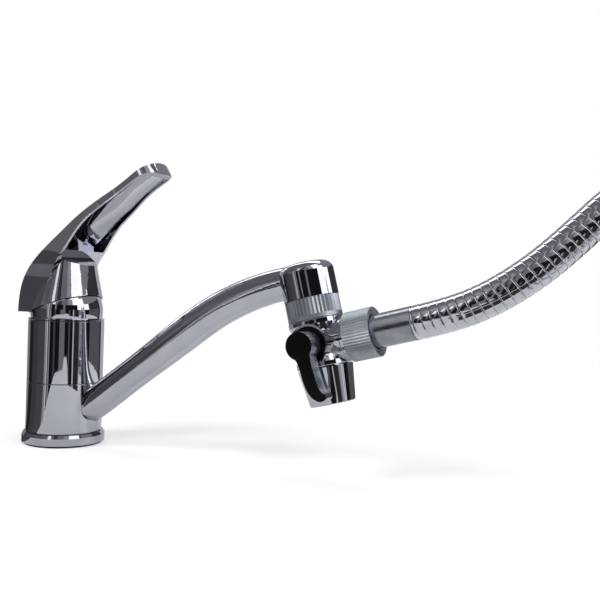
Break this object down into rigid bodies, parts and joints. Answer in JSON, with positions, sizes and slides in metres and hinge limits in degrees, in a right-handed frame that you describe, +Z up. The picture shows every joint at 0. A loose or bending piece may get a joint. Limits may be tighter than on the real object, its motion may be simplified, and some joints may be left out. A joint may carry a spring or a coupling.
{
  "type": "diverter tap",
  "caption": "Single-lever sink mixer tap with a swivel spout, a diverter valve on the spout mouth worked by a small side lever, and a ribbed shower hose folded into a hank beside it",
  "frame": {"origin": "centre of the column's underside, on the deck that the tap stands on", "axes": "+Z up the column, +X out along the spout as stored, +Y to the left of someone facing along the spout from behind"},
  "size_m": [0.6425, 0.1168, 0.1767],
  "materials": {
    "chrome": "polished",
    "black_plastic": "fine grain front, smooth hub",
    "grey_plastic": "moulded",
    "brass": "machined",
    "steel": "machined",
    "rubber": "soft matte",
    "white_seat": "smooth",
    "ceramic": "lapped",
    "hose_skin": "bright metal segments",
    "plug_plastic": "bright"
  },
  "bodies": {
    "column": {"base_gasket": "rubber", "base_ring": "chrome", "body": "chrome", "o_ring_lower": "rubber", "o_ring_upper": "rubber", "slip_washer_lower": "grey_plastic", "slip_washer_upper": "grey_plastic", "port_seal_hot": "rubber", "port_seal_cold": "rubber", "port_seal_out": "rubber", "cartridge_housing": "grey_plastic", "fixed_disc": "ceramic", "retaining_nut": "brass", "ball_cap": "chrome"},
    "spout_arm": {"spout_hub": "chrome", "spout": "chrome", "spout_nut": "chrome", "snap_ring": "steel", "inlet_gasket": "rubber", "valve_body": "chrome", "seat_inlet": "white_seat", "seat_outlet": "white_seat", "seat_branch": "white_seat", "bonnet": "grey_plastic", "stem_seal": "rubber", "outlet_cone": "chrome", "outlet_gasket": "rubber", "flow_straightener": "grey_plastic", "branch_collar": "rubber", "branch_nipple": "chrome", "hose_nut": "chrome", "hose_gasket": "rubber", "hose_tail": "brass", "hose_ferrule": "chrome", "hose": "hose_skin", "hose_hank": "hose_skin", "hose_tie": "grey_plastic", "end_gasket": "rubber", "end_tail": "brass", "end_ferrule": "chrome"},
    "diverter_valve": {"valve_ball": "brass", "diverter_lever": "black_plastic"},
    "end_nut_body": {"end_nut": "chrome"},
    "rotor_guide": {"rotor": "grey_plastic", "pivot_pin": "steel"},
    "disc_slider": {"disc_carrier": "grey_plastic", "moving_disc": "ceramic"},
    "handle": {"spindle": "steel", "lever_handle": "chrome", "lever_plug": "plug_plastic", "grub_screw": "steel"}
  },
  "joints": [
    {"name": "spout_swivel", "type": "hinge", "parent": "column", "child": "spout_arm", "pos_m": [0, 0, 0.022], "axis": [0, 0, 1], "range_deg": [-120, 120]},
    {"name": "lever_turn", "type": "hinge", "parent": "column", "child": "rotor_guide", "pos_m": [0, 0, 0.0787], "axis": [0, 0, 1], "range_deg": [-50, 50]},
    {"name": "lever_lift", "type": "hinge", "parent": "rotor_guide", "child": "handle", "pos_m": [0, 0, 0.0787], "axis": [0, -1, 0], "range_deg": [-20, 4]},
    {"name": "disc_slide", "type": "slide", "parent": "rotor_guide", "child": "disc_slider", "axis": [1, 0, 0], "range_m": [-0.006, 0.0012]},
    {"name": "diverter_turn", "type": "hinge", "parent": "spout_arm", "child": "diverter_valve", "pos_m": [0.16803, 0, 0.06858], "axis": [0, 1, 0], "range_deg": [0, 90]},
    {"name": "end_nut_spin", "type": "hinge", "parent": "spout_arm", "child": "end_nut_body", "pos_m": [0.46881, -0.01095, 0.02259], "axis": [-0.7493, 0.6287, 0.2079], "continuous": true}
  ],
  "couplings": [
    {"joint": "disc_slide", "follows": "lever_lift", "m_per_rad": 0.017146}
  ]
}
